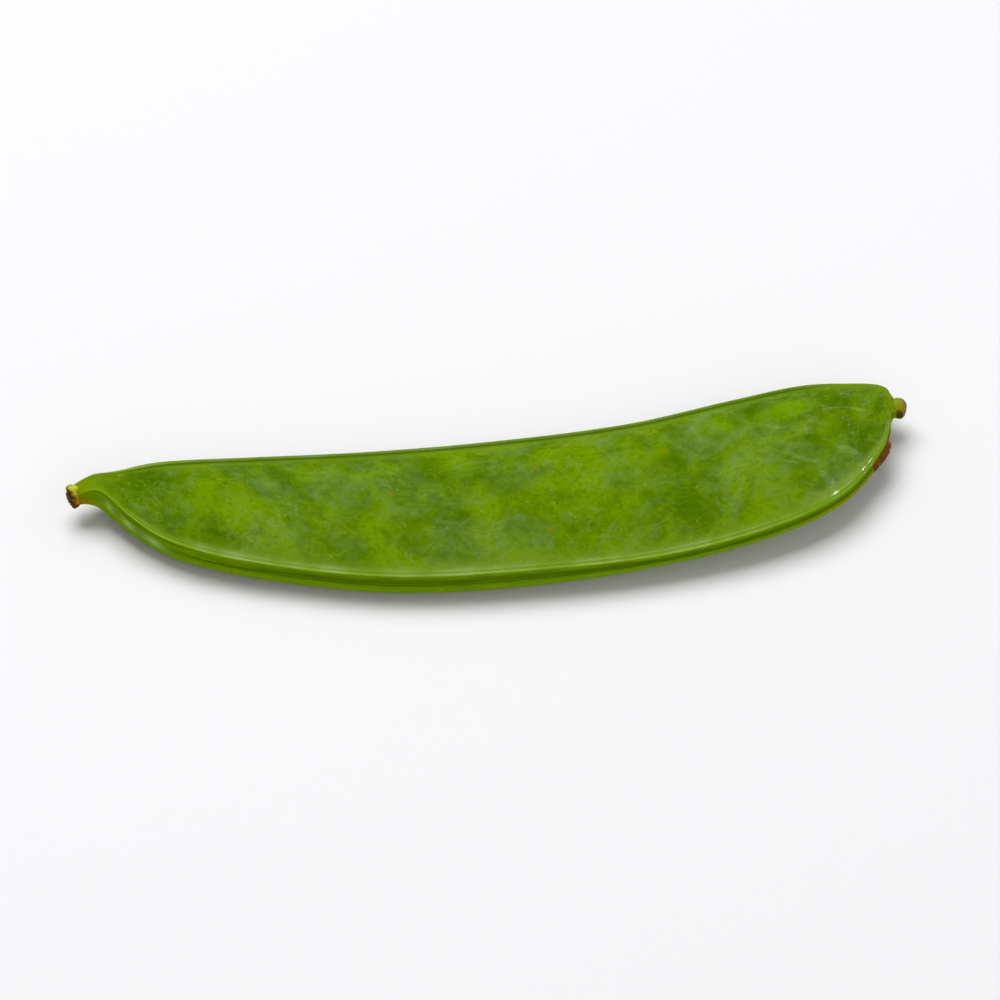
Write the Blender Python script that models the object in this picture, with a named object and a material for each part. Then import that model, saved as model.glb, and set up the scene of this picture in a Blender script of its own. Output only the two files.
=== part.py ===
"""A picked snow pea pod, lying on its side on a flat surface.

The pod grew as one piece, so it is one closed solid: two flat valves that meet in a ribbed seam
all the way round, the neck with its stem stub at -X, and the beak that the flower's style left at +X.
The straighter seam, which carries the seeds, is towards +Y, and the bowed seam towards -Y.
Sizes are in millimetres, and the finished mesh is in metres.
"""

import math
import random

import bmesh
import bpy
from mathutils import Vector, noise

MM = 0.001

# ---- driving dimensions, in millimetres ----
POD_LENGTH = 85.6        # stem stub to beak, along the chord
POD_WIDTH = 19.0         # across both valves at the widest place
BELLY = 2.60             # half thickness of the widest place, between two seeds

# The loft's key sections, from the stem stub to the beak. Each runs across the pod from the seed
# seam to the bowed seam: x and y of each end as shares of POD_LENGTH and POD_WIDTH, then the half
# thickness as a share of BELLY.
KEY_SECTIONS = (
    (0.002, -0.012, 0.004, -0.110, 0.37),  # cut end of the stem stub, which droops
    (0.013, 0.038, 0.017, -0.114, 0.42),   # waist of the stub
    (0.030, 0.059, 0.034, -0.138, 0.45),   # neck
    (0.066, 0.071, 0.066, -0.330, 0.57),
    (0.122, 0.088, 0.122, -0.544, 0.74),   # shoulder of the seed seam
    (0.218, 0.063, 0.219, -0.741, 0.91),
    (0.358, 0.025, 0.358, -0.921, 0.99),
    (0.510, 0.017, 0.510, -0.986, 1.00),   # widest place
    (0.673, 0.067, 0.678, -0.976, 0.99),
    (0.801, 0.161, 0.813, -0.871, 0.90),
    (0.889, 0.210, 0.903, -0.692, 0.76),   # blunt end
    (0.950, 0.174, 0.961, -0.400, 0.61),
    (0.976, 0.140, 0.978, -0.216, 0.50),
    (0.987, 0.094, 0.984, -0.112, 0.42),   # root of the beak
    (0.992, 0.022, 0.990, -0.094, 0.36),   # beak
    (0.998, 0.006, 0.996, -0.096, 0.34),
)

# ---- the ribbed seam: a groove between two fine ridges ----
SEAM_HALF = 1.12         # half thickness of the pod's edge at the ridges
SEAM_THINNING = 0.40     # share of it that the edge loses towards the beak
SEAM_THINS = (42.0, 62.0)      # places along the middle line between which it thins
SEAM_WIDTH = 0.85        # from the outer edge to where a valve starts
SEAM_LIMIT = 0.9         # most that the edge takes of the pod's own half thickness, near the ends
SEAM_PROFILE = (         # (in from the edge, up from the middle), in shares of the two sizes above
    (0.20, 0.00),        # bottom of the groove
    (0.02, 0.42),        # outer side of a ridge
    (0.10, 0.82),
    (0.42, 1.05),        # crest of the ridge
    (1.00, 1.06),        # where the valve starts
)
FULL_SEAM_AT = 4.5       # half width from which the seam has its full size
ROUND_TO_FLAT = (1.0, 2.0)     # half widths between which a round stub becomes a flat pod
VALVE_FULLNESS = (2.3, 1.0)    # exponents of the valve's arch: flat in the middle, round at the seams

# ---- seeds, which show as low swellings beside the seed seam ----
SEED_COUNT = 8
FIRST_SEED = 0.175       # share of the length
LAST_SEED = 0.865
SEED_ACROSS = 0.52       # place across the pod: 0 is the middle, 1 the seed seam
SEED_HALF_LENGTH = 2.7
SEED_HALF_WIDTH = 3.4
SEED_HEIGHT = 0.55
SEED_SPREAD = 0.16       # how much one seed differs from the next
SEED_FADE = 2.6          # seed spacings past the first and last seed at which the height would be 0
SEED_DRAW = 7            # seed of the random draws

# ---- the slow unevenness that a grown pod has ----
WAVE_LENGTH = 11.0
WAVE_HEIGHT = 0.16
VALVES_APART = 9.0       # how far apart the two valves' waves are drawn, so that they differ
TWIST_DEG = 7.0          # from end to end: the stem end lifts its bowed seam, the beak end drops it
TWIST_LINE = -0.45       # place of the line that it twists about, as a share of the width
NECK_TWIST_DEG = 26.0    # the neck turns more, about its own middle, and shows its bowed seam on top
NECK_TWIST_END = 9.0     # place along the middle line where that turn has gone
STEM_LIFT = 0.3          # how far each end rises above the middle
BEAK_LIFT = 1.3

CONTACT_BITE = 0.42      # depth of the belly's flat spots, on which the pod rests

# ---- how finely the loft is cut ----
RINGS = 98
END_CROWDING = 0.42      # 0 spaces the rings evenly, 1 crowds them at the two ends
VALVE_STEPS = 12
STUB_CAP = ((0.80, 0.16), (0.45, 0.06))             # (scale, push outwards) of the closing rings
BEAK_CAP = ((0.86, 0.24), (0.58, 0.44), (0.26, 0.54))

SKIN_COLOUR = (0.10, 0.24, 0.018, 1.0)
SKIN_ROUGHNESS = 0.42


def hermite(knots, values, place):
    """The value at a place, on a smooth curve through values at rising knots."""
    last = len(knots) - 2
    span = next((i for i in range(last) if place <= knots[i + 1]), last)

    def slope(i):
        before, after = max(i - 1, 0), min(i + 1, len(knots) - 1)
        return (values[after] - values[before]) / (knots[after] - knots[before])

    width = knots[span + 1] - knots[span]
    u = (place - knots[span]) / width
    bend_in = width * slope(span)
    bend_out = width * slope(span + 1)
    start, end = values[span], values[span + 1]
    return (
        start
        + u * bend_in
        + u * u * (3 * (end - start) - 2 * bend_in - bend_out)
        + u * u * u * (2 * (start - end) + bend_in + bend_out)
    )


def smooth_step(value, low, high):
    """0 up to low, 1 from high on, and a smooth rise between them."""
    share = min(1.0, max(0.0, (value - low) / (high - low)))
    return share * share * (3 - 2 * share)


def key_section_ends():
    """Key sections in millimetres, and how far along the pod's middle line each one lies."""
    rows = [
        (x1 * POD_LENGTH, y1 * POD_WIDTH, x2 * POD_LENGTH, y2 * POD_WIDTH, thick * BELLY)
        for x1, y1, x2, y2, thick in KEY_SECTIONS
    ]
    middles = [Vector(((r[0] + r[2]) / 2, (r[1] + r[3]) / 2)) for r in rows]
    along = [0.0]
    for before, after in zip(middles, middles[1:]):
        along.append(along[-1] + (after - before).length)
    return along, rows


ALONG, KEY_ROWS = key_section_ends()
MIDLINE_LENGTH = ALONG[-1]


def section_at(place):
    """Middle point, direction towards the seed seam, half width and half thickness at a place."""
    x1, y1, x2, y2, thick = (
        hermite(ALONG, [row[i] for row in KEY_ROWS], place) for i in range(5)
    )
    seed_side, bowed_side = Vector((x1, y1)), Vector((x2, y2))
    across = seed_side - bowed_side
    return (seed_side + bowed_side) / 2, across.normalized(), across.length / 2, thick


def draw_seeds():
    """Place along the middle line and height of each seed's swelling."""
    draw = random.Random(SEED_DRAW)
    step = (LAST_SEED - FIRST_SEED) / (SEED_COUNT - 1)
    seeds = []
    for i in range(SEED_COUNT):
        share = FIRST_SEED + step * (i + draw.uniform(-SEED_SPREAD, SEED_SPREAD))
        end_taper = math.sqrt(math.sin(math.pi * (i + SEED_FADE) / (SEED_COUNT - 1 + 2 * SEED_FADE)))
        height = SEED_HEIGHT * end_taper * (1 + draw.uniform(-SEED_SPREAD, SEED_SPREAD))
        seeds.append((share * MIDLINE_LENGTH, height))
    return seeds


SEEDS = draw_seeds()


def swelling(place, across, half_width):
    """Height that the seeds under a valve add at a place."""
    off = (across - SEED_ACROSS * half_width) / SEED_HALF_WIDTH
    return sum(
        height * math.exp(-(((place - at) / SEED_HALF_LENGTH) ** 2) - off * off)
        for at, height in SEEDS
    )


def valve_height(place, across, half_width, valve_half, edge_height, thick, side):
    """Height of one valve above the pod's middle plane. side is 1 on top and -1 underneath."""
    flat_middle, round_edge = VALVE_FULLNESS
    arch = max(0.0, 1 - abs(across / valve_half) ** flat_middle) ** round_edge
    wave = noise.noise(Vector((place, across, VALVES_APART * side)) / WAVE_LENGTH)
    uneven = WAVE_HEIGHT * wave + swelling(place, across, half_width)
    return edge_height + arch * (thick - edge_height + uneven)


def half_section(place, half_width, thick, side):
    """(across, up) points of one side, from the seed seam's groove to the bowed seam's."""
    seam = min(1.0, half_width / FULL_SEAM_AT)
    thinned = 1 - SEAM_THINNING * smooth_step(place, *SEAM_THINS)
    seam_half = min(SEAM_HALF * thinned, SEAM_LIMIT * thick)
    seam_rows = [
        (half_width - inwards * SEAM_WIDTH * seam, up * seam_half)
        for inwards, up in SEAM_PROFILE
    ]
    valve_half, edge_height = seam_rows[-1]
    points = list(seam_rows)
    for i in range(1, VALVE_STEPS):
        across = valve_half * math.cos(math.pi * i / VALVE_STEPS)
        up = valve_height(place, across, half_width, valve_half, edge_height, thick, side)
        points.append((across, up))
    points += [(-across, up) for across, up in reversed(seam_rows)]
    flatness = smooth_step(half_width, *ROUND_TO_FLAT)
    blended = []
    for i, (across, up) in enumerate(points):
        angle = math.pi * i / (len(points) - 1)
        round_across, round_up = half_width * math.cos(angle), thick * math.sin(angle)
        blended.append((
            round_across + flatness * (across - round_across),
            side * (round_up + flatness * (up - round_up)),
        ))
    return blended


def lifted(point):
    """A point of the straight, flat pod, twisted and bowed as the pod grew."""
    share = 2 * point.x / POD_LENGTH - 1
    turn = math.radians(-TWIST_DEG / 2 * share)
    lift = (STEM_LIFT if share < 0 else BEAK_LIFT) * share * share
    y = point.y - TWIST_LINE * POD_WIDTH
    return Vector((
        point.x,
        TWIST_LINE * POD_WIDTH + y * math.cos(turn) - point.z * math.sin(turn),
        y * math.sin(turn) + point.z * math.cos(turn) + lift,
    ))


def ring_points(place, scale=1.0, push=0.0):
    """One closed ring round the pod. scale shrinks it and push moves it along, for the end caps."""
    middle, across_way, half_width, thick = section_at(place)
    along_way = Vector((across_way.y, -across_way.x))
    top = half_section(place, half_width, thick, 1)
    under = half_section(place, half_width, thick, -1)
    outline = top + under[-2:0:-1]
    turn = math.radians(NECK_TWIST_DEG) * (1 - smooth_step(place, 0.0, NECK_TWIST_END))
    points = []
    for across, up in outline:
        turned_across = across * math.cos(turn) + up * math.sin(turn)
        turned_up = up * math.cos(turn) - across * math.sin(turn)
        flat = middle + across_way * turned_across * scale + along_way * push
        points.append(lifted(Vector((flat.x, flat.y, turned_up * scale))))
    return points


def ring_places():
    """Places of the rings along the middle line, closer together towards both ends."""
    places = []
    for i in range(RINGS):
        share = i / (RINGS - 1)
        crowded = share - END_CROWDING * math.sin(2 * math.pi * share) / (2 * math.pi)
        places.append(crowded * MIDLINE_LENGTH)
    return places


def all_rings():
    """Every ring of the loft in order, with the rings that round off the stub and the beak."""
    stub = [ring_points(0.0, scale, -push) for scale, push in reversed(STUB_CAP)]
    body = [ring_points(place) for place in ring_places()]
    beak = [ring_points(MIDLINE_LENGTH, scale, push) for scale, push in BEAK_CAP]
    return stub + body + beak


def settle(rings):
    """Flattens the belly's lowest places, and puts the origin under the middle of the pod's box."""
    points = [point for ring in rings for point in ring]
    floor = min(point.z for point in points) + CONTACT_BITE
    for point in points:
        point.z = max(point.z, floor)
    low = [min(point[i] for point in points) for i in range(3)]
    high = [max(point[i] for point in points) for i in range(3)]
    origin = Vector(((low[0] + high[0]) / 2, (low[1] + high[1]) / 2, low[2]))
    for point in points:
        point -= origin


def loft(rings):
    """A closed mesh through the rings, with a fan of triangles over each end."""
    mesh = bmesh.new()
    loops = [[mesh.verts.new(point * MM) for point in ring] for ring in rings]
    count = len(loops[0])
    for here, ahead in zip(loops, loops[1:]):
        for i in range(count):
            j = (i + 1) % count
            mesh.faces.new((here[i], here[j], ahead[j], ahead[i]))
    for loop, turned in ((loops[0], True), (loops[-1], False)):
        hub = mesh.verts.new(sum((vert.co for vert in loop), Vector()) / count)
        for i in range(count):
            pair = (loop[i], loop[(i + 1) % count])
            mesh.faces.new((hub, *(pair[::-1] if turned else pair)))
    bmesh.ops.recalc_face_normals(mesh, faces=mesh.faces)
    return mesh


def skin_material():
    material = bpy.data.materials.new("pod_skin")
    material.use_nodes = True
    shader = material.node_tree.nodes["Principled BSDF"]
    shader.inputs["Base Color"].default_value = SKIN_COLOUR
    shader.inputs["Roughness"].default_value = SKIN_ROUGHNESS
    shader.inputs["Metallic"].default_value = 0.0
    return material


def build_pod():
    rings = all_rings()
    settle(rings)
    mesh = bpy.data.meshes.new("pod")
    shape = loft(rings)
    shape.to_mesh(mesh)
    shape.free()
    mesh.materials.append(skin_material())
    mesh.shade_smooth()
    pod = bpy.data.objects.new("pod", mesh)
    bpy.context.scene.collection.objects.link(pod)
    return pod


for leftover in list(bpy.data.objects):
    bpy.data.objects.remove(leftover)
build_pod()
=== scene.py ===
"""The looks of a picked snow pea pod that lies on its side.

The waxy skin is one closed piece, swept along the pod's middle line from the same key sections as the
solid it stands for. On it sit the lumpy calyx collar and the torn stem end at -X, the dry style tip
at +X, and a strip of corky scar on the bowed seam near that tip.
Sizes are in millimetres until a piece is finished, and finished pieces are in metres.
"""

import math
import random

import bpy
import numpy as np
from mathutils import Matrix, Vector


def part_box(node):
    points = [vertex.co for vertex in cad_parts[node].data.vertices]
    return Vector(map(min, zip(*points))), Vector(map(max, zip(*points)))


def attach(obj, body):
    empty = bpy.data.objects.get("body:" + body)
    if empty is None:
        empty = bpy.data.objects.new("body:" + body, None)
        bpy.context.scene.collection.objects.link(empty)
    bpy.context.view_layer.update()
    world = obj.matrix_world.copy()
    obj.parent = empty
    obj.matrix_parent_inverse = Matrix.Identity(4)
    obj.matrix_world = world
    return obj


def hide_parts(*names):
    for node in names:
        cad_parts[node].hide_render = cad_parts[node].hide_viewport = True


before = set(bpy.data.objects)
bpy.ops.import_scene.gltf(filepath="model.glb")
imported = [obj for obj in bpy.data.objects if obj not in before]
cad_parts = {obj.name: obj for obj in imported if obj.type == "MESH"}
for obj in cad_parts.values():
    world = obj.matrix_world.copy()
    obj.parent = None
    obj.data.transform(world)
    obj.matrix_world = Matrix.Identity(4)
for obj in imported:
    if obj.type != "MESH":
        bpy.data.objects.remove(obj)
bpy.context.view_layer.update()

MM = 0.001

# ---- driving dimensions of the pod, the same as its solid's ----
POD_LENGTH = 85.6        # stem stub to beak, along the chord
POD_WIDTH = 19.0         # across both valves at the widest place
BELLY = 2.60             # half thickness of the widest place, between two seeds

# The key sections, from the stem stub to the beak: x and y of the seed seam, x and y of the bowed
# seam, and the half thickness, as shares of the three sizes above.
KEY_SECTIONS = (
    (0.002, -0.012, 0.004, -0.110, 0.37),  # cut end of the stem stub, which droops
    (0.013, 0.038, 0.017, -0.114, 0.42),   # waist of the stub
    (0.030, 0.059, 0.034, -0.138, 0.45),   # neck
    (0.066, 0.071, 0.066, -0.330, 0.57),
    (0.122, 0.088, 0.122, -0.544, 0.74),   # shoulder of the seed seam
    (0.218, 0.063, 0.219, -0.741, 0.91),
    (0.358, 0.025, 0.358, -0.921, 0.99),
    (0.510, 0.017, 0.510, -0.986, 1.00),   # widest place
    (0.673, 0.067, 0.678, -0.976, 0.99),
    (0.801, 0.161, 0.813, -0.871, 0.90),
    (0.889, 0.210, 0.903, -0.692, 0.76),   # blunt end
    (0.950, 0.174, 0.961, -0.400, 0.61),
    (0.976, 0.140, 0.978, -0.216, 0.50),
    (0.987, 0.094, 0.984, -0.112, 0.42),   # root of the beak
    (0.992, 0.022, 0.990, -0.094, 0.36),   # beak
    (0.998, 0.006, 0.996, -0.096, 0.34),
)
STUB_CLOSING = ((1.0, 0.0), (0.80, 0.16), (0.45, 0.06), (0.0, 0.03))   # (scale, push outwards)
BEAK_CLOSING = ((1.0, 0.0), (0.86, 0.24), (0.58, 0.44), (0.26, 0.54), (0.0, 0.56))

SEED_COUNT = 8
FIRST_SEED = 0.175       # share of the middle line
LAST_SEED = 0.865
SEED_HALF_LENGTH = 2.7
SEED_HEIGHT = 0.55
SEED_SPREAD = 0.16       # how much one seed differs from the next
SEED_FADE = 2.6          # seed spacings past the first and last seed at which the height would be 0
SEED_DRAW = 7            # seed of the random draws

RINGS = 410
CLOSING_RINGS = 9        # more of them past each end, down to a point
STUB_RUN, BEAK_RUN = 12, 6       # rings over which the direction of each end is taken
POINTS_ROUND = 201       # one more than the spokes, because the first and the last one meet
END_CROWDING = 0.42      # 0 spaces the rings evenly, 1 crowds them at the two ends
MAP_MARGIN = 0.01        # of the skin's flat map, which is the rings by the way round

# The rim's outline, from the bottom of the seam's groove over its ridge to where the valve starts.
# Steps are even shares of the way: how far in from the edge, in seam widths, and how high, in crests.
RIM_IN = ((0.0, 0.15), (0.14, 0.05), (0.30, 0.015), (0.48, 0.10), (0.64, 0.30), (0.80, 0.58), (1.0, 1.0))
RIM_UP = ((0.0, 0.0), (0.14, 0.15), (0.30, 0.50), (0.48, 0.85), (0.64, 1.0), (0.80, 0.965), (1.0, 1.0))

# ---- where the finish changes, in millimetres along the middle line ----
# Two numbers are the start and the end of a change, in a glint its middle and its half length.
ROOT = (0.6, 2.6)                      # end of the brown by the collar
NECK = (1.0, 8.0)                      # end of the yellower neck
NECK_SEAM = (9.0, 15.0)                # end of the seam's bright stretch on the neck
FLAT_SEAM = (12.0, 22.0)               # start of the painted shade line along the seam
PAINTED_STREAK = (2.2, 3.2), (8.0, 11.0)         # start and end of the pale band along the neck's seam, a painted reflection
# middles and half lengths of the painted glints on that pale band
PAINTED_STREAK_GLINTS = (3.6, 0.35), (5.7, 0.60), (8.3, 0.90)
PAINTED_LIGHT_STRETCH = (44.0, 58.0), (70.0, 78.0)   # start and end of the valves' stretch that is painted lighter, as painted light
LAST_SPOT = (76.3, 4.7)                # place and place across of the last seed's bright spot
SHADED_SEED_EDGE = (77.0, 82.0)               # end of the painted shade along the seed side's edge
EDGE_GLINTS = (77.3, 0.30), (81.1, 0.20), (82.1, 0.22)
SCAR_START, SCAR_END = 82.3, 85.5      # of the corky scar on the bowed seam
BEAK = (85.8, 87.2)                    # where the two valves pass into the beak

SKINS_APART = 40.0       # how far off the lower valve's patterns are read, so that the valves differ
CREST_HIGHLIGHT_APART = 9.0       # the same for the rim's painted highlight and gloss


# ======== small tools for node trees ========


def operator(operation, swapped=False):
    """A method of Wire that adds one Math node."""
    def method(self, other):
        return self.bench.math(operation, *((other, self) if swapped else (self, other)))
    return method


class Wire:
    """One output of a node. Arithmetic on wires and numbers adds Math nodes to the same tree."""

    __add__ = __radd__ = operator("ADD")
    __sub__, __rsub__ = operator("SUBTRACT"), operator("SUBTRACT", swapped=True)
    __mul__ = __rmul__ = operator("MULTIPLY")
    __truediv__, __rtruediv__ = operator("DIVIDE"), operator("DIVIDE", swapped=True)
    __pow__ = operator("POWER")
    __gt__, __lt__ = operator("GREATER_THAN"), operator("LESS_THAN")

    def __init__(self, bench, socket):
        self.bench = bench
        self.socket = socket

    def __neg__(self):
        return self * -1.0

    def __abs__(self):
        return self.bench.math("ABSOLUTE", self)


class Bench:
    """Adds nodes to one tree: a material's, or a Geometry Nodes tree."""

    def __init__(self, tree):
        self.tree = tree

    def add(self, kind, settings=None, numbered=None, output=0, **named):
        """One node. Its settings are set first, then the values or links of its sockets, which are
        given by number, or by name with _ for a space."""
        node = self.tree.nodes.new(kind)
        for name, value in (settings or {}).items():
            if name == "points":
                self.set_points(node.mapping, value)
            else:
                setattr(node, name, value)
        sockets = dict(numbered or {})
        sockets.update((name.replace("_", " "), value) for name, value in named.items())
        for name, value in sockets.items():
            socket = node.inputs[name]
            if isinstance(value, Wire):
                self.tree.links.new(value.socket, socket)
            else:
                socket.default_value = value
        return Wire(self, node.outputs[output])

    @staticmethod
    def set_points(mapping, points):
        curve = mapping.curves[0]
        curve.points[0].location = points[0]
        curve.points[1].location = points[-1]
        for point in points[1:-1]:
            curve.points.new(*point)
        mapping.update()

    def math(self, operation, *values):
        return self.add("ShaderNodeMath", {"operation": operation}, dict(enumerate(values)))

    def clamp(self, value):
        return self.add("ShaderNodeClamp", Value=value)

    def smooth(self, value, low, high):
        """0 at low, 1 at high, and a smooth rise between them. Either one may be the larger."""
        return self.add(
            "ShaderNodeMapRange", {"interpolation_type": "SMOOTHSTEP"},
            Value=value, From_Min=low, From_Max=high)

    def bell(self, value, middle, half_width):
        """1 at the middle, and about a third at half_width to either side."""
        off = (value - middle) / half_width
        return self.math("EXPONENT", -(off * off))

    def vector(self, x, y, z):
        return self.add("ShaderNodeCombineXYZ", X=x, Y=y, Z=z)

    def parts(self, vector):
        node = self.add("ShaderNodeSeparateXYZ", Vector=vector).socket.node
        return [Wire(self, socket) for socket in node.outputs]

    def vector_math(self, operation, *values):
        return self.add("ShaderNodeVectorMath", {"operation": operation}, dict(enumerate(values)))

    def scaled(self, vector, factor):
        return self.add("ShaderNodeVectorMath", {"operation": "SCALE"}, {0: vector}, Scale=factor)

    def noise(self, where, scale, detail=2.0, roughness=0.5, distortion=0.0):
        """Even noise round 0.5."""
        return self.add(
            "ShaderNodeTexNoise", Vector=where, Scale=scale, Detail=detail, Roughness=roughness,
            Distortion=distortion)

    def colour_mix(self, factor, one, other):
        """one where factor is 0, other where it is 1. Both are colours."""
        return self.add("ShaderNodeMix", {"data_type": "RGBA"}, {0: factor, 6: one, 7: other}, output=2)


INPUT_KINDS = {int: "Int", float: "Float", tuple: "Vector", bpy.types.Material: "Material"}


def geometry_bench(name, values):
    """A Geometry Nodes tree with one input for each value, and its inputs as wires."""
    tree = bpy.data.node_groups.new(name, "GeometryNodeTree")
    tree.interface.new_socket("Geometry", in_out="INPUT", socket_type="NodeSocketGeometry")
    for label, value in values.items():
        kind = "NodeSocket" + INPUT_KINDS[type(value)]
        tree.interface.new_socket(label, in_out="INPUT", socket_type=kind)
    tree.interface.new_socket("Geometry", in_out="OUTPUT", socket_type="NodeSocketGeometry")
    bench = Bench(tree)
    entry = tree.nodes.new("NodeGroupInput")
    return bench, {socket.name: Wire(bench, socket) for socket in entry.outputs if socket.name}


def linked(name, data):
    """A new object in the scene."""
    thing = bpy.data.objects.new(name, data)
    bpy.context.scene.collection.objects.link(thing)
    return thing


def grow(name, start, form, sizes, material):
    """Runs a form's tree on a start object, and returns the result as a new object with a plain mesh."""
    values = {**sizes, "Skin": material}
    bench, given = geometry_bench(name, values)
    shape = bench.add("GeometryNodeSetShadeSmooth", Geometry=form(bench, given))
    shape = bench.add("GeometryNodeRealizeInstances", Geometry=shape)
    shape = bench.add("GeometryNodeSetMaterial", Geometry=shape, Material=given["Skin"])
    bench.tree.links.new(shape.socket, bench.tree.nodes.new("NodeGroupOutput").inputs[0])

    modifier = start.modifiers.new(name, "NODES")
    modifier.node_group = bench.tree
    for item in bench.tree.interface.items_tree:
        if item.in_out == "INPUT" and item.name in values:
            modifier[item.identifier] = values[item.name]
    bpy.context.view_layer.update()
    depsgraph = bpy.context.evaluated_depsgraph_get()
    mesh = bpy.data.meshes.new_from_object(
        start.evaluated_get(depsgraph), preserve_all_data_layers=True, depsgraph=depsgraph)
    start.modifiers.remove(modifier)
    mesh.name = name
    return linked(name, mesh)


def points_object(name, points):
    """A helper object with loose vertices, which a tree starts from."""
    mesh = bpy.data.meshes.new(name)
    mesh.from_pydata([tuple(point) for point in points], [], [])
    return linked(name, mesh)


def position(bench):
    return bench.add("GeometryNodeInputPosition")


def placed(bench, geometry, place):
    return bench.add("GeometryNodeSetPosition", Geometry=geometry, Position=place)


def pushed(bench, geometry, offset, selection=True):
    return bench.add("GeometryNodeSetPosition", Geometry=geometry, Offset=offset, Selection=selection)


def store(bench, geometry, name, value, kind="FLOAT", domain="POINT"):
    return bench.add(
        "GeometryNodeStoreNamedAttribute", {"data_type": kind, "domain": domain},
        Geometry=geometry, Name=name, Value=value)


def stored(bench, name, kind="FLOAT"):
    return bench.add("GeometryNodeInputNamedAttribute", {"data_type": kind}, Name=name)


def store_place(bench, geometry):
    """Keeps each point's place in the piece's own frame, for its finish: X out of the pod's end."""
    for name, value in zip(("outward", "seedward", "upward"), bench.parts(position(bench))):
        geometry = store(bench, geometry, name, value)
    return geometry


def joined(bench, *shapes):
    node = bench.add("GeometryNodeJoinGeometry")
    for shape in shapes:
        bench.tree.links.new(shape.socket, node.socket.node.inputs[0])
    return node


# ======== the pod's middle line ========


def hermite(knots, values, place):
    """The value at a place, on a smooth curve through values at rising knots."""
    last = len(knots) - 2
    span = next((i for i in range(last) if place <= knots[i + 1]), last)

    def slope(i):
        before, after = max(i - 1, 0), min(i + 1, len(knots) - 1)
        return (values[after] - values[before]) / (knots[after] - knots[before])

    width = knots[span + 1] - knots[span]
    u = (place - knots[span]) / width
    bend_in = width * slope(span)
    bend_out = width * slope(span + 1)
    start, end = values[span], values[span + 1]
    return (
        start
        + u * bend_in
        + u * u * (3 * (end - start) - 2 * bend_in - bend_out)
        + u * u * u * (2 * (start - end) + bend_in + bend_out)
    )


def key_section_ends():
    """Key sections in millimetres, and how far along the pod's middle line each one lies."""
    rows = [
        (x1 * POD_LENGTH, y1 * POD_WIDTH, x2 * POD_LENGTH, y2 * POD_WIDTH, thick * BELLY)
        for x1, y1, x2, y2, thick in KEY_SECTIONS
    ]
    middles = [Vector(((r[0] + r[2]) / 2, (r[1] + r[3]) / 2)) for r in rows]
    along = [0.0]
    for before, after in zip(middles, middles[1:]):
        along.append(along[-1] + (after - before).length)
    return along, rows


ALONG, KEY_ROWS = key_section_ends()
MIDLINE_LENGTH = ALONG[-1]


def draw_seeds():
    """Place along the middle line and height of each seed's swelling."""
    draw = random.Random(SEED_DRAW)
    step = (LAST_SEED - FIRST_SEED) / (SEED_COUNT - 1)
    seeds = []
    for i in range(SEED_COUNT):
        share = FIRST_SEED + step * (i + draw.uniform(-SEED_SPREAD, SEED_SPREAD))
        end_taper = math.sqrt(math.sin(math.pi * (i + SEED_FADE) / (SEED_COUNT - 1 + 2 * SEED_FADE)))
        height = SEED_HEIGHT * end_taper * (1 + draw.uniform(-SEED_SPREAD, SEED_SPREAD))
        seeds.append((share * MIDLINE_LENGTH, height))
    return seeds


SEEDS = draw_seeds()


def midline_stations():
    """Rows of (place, scale, push): one for each ring of the sweep, from pole to pole."""
    def closing(pairs):
        knots = list(range(len(pairs)))
        shares = [i / CLOSING_RINGS * knots[-1] for i in range(1, CLOSING_RINGS + 1)]
        return [[hermite(knots, column, share) for column in zip(*pairs)] for share in shares]

    rows = [(0.0, scale, -push) for scale, push in reversed(closing(STUB_CLOSING))]
    for i in range(RINGS):
        share = i / (RINGS - 1)
        crowded = share - END_CROWDING * math.sin(2 * math.pi * share) / (2 * math.pi)
        rows.append((crowded * MIDLINE_LENGTH, 1.0, 0.0))
    rows += [(MIDLINE_LENGTH, scale, push) for scale, push in closing(BEAK_CLOSING)]
    return rows


def midline_object():
    """The pod's middle line, one vertex for each ring, with the sizes of the section there."""
    stations = midline_stations()
    middles, across_ways, numbers = [], [], []
    for place, scale, push in stations:
        x1, y1, x2, y2, thick = (hermite(ALONG, column, place) for column in zip(*KEY_ROWS))
        seed_side, bowed_side = Vector((x1, y1, 0)), Vector((x2, y2, 0))
        across = seed_side - bowed_side
        way = across.normalized()
        along_way = Vector((way.y, -way.x, 0))
        near = [math.exp(-(((place - at) / SEED_HALF_LENGTH) ** 2)) for at, _ in SEEDS]
        rise = sum(height * share for (_, height), share in zip(SEEDS, near))
        middles.append((seed_side + bowed_side) / 2 + along_way * push)
        across_ways.append(way)
        numbers.append((place, across.length / 2, thick, rise, max(near), max(0.0, scale)))
    helper = points_object("pod_midline", middles)
    attributes = helper.data.attributes
    attributes.new("across_way", "FLOAT_VECTOR", "POINT").data.foreach_set(
        "vector", np.array(across_ways, np.float32).ravel())
    names = ("place", "half_width", "half_thick", "seed_rise", "seed_near", "closing")
    for name, column in zip(names, zip(*numbers)):
        attributes.new(name, "FLOAT", "POINT").data.foreach_set("value", np.array(column, np.float32))
    return helper, len(stations)


# ======== the pod's form ========

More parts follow.
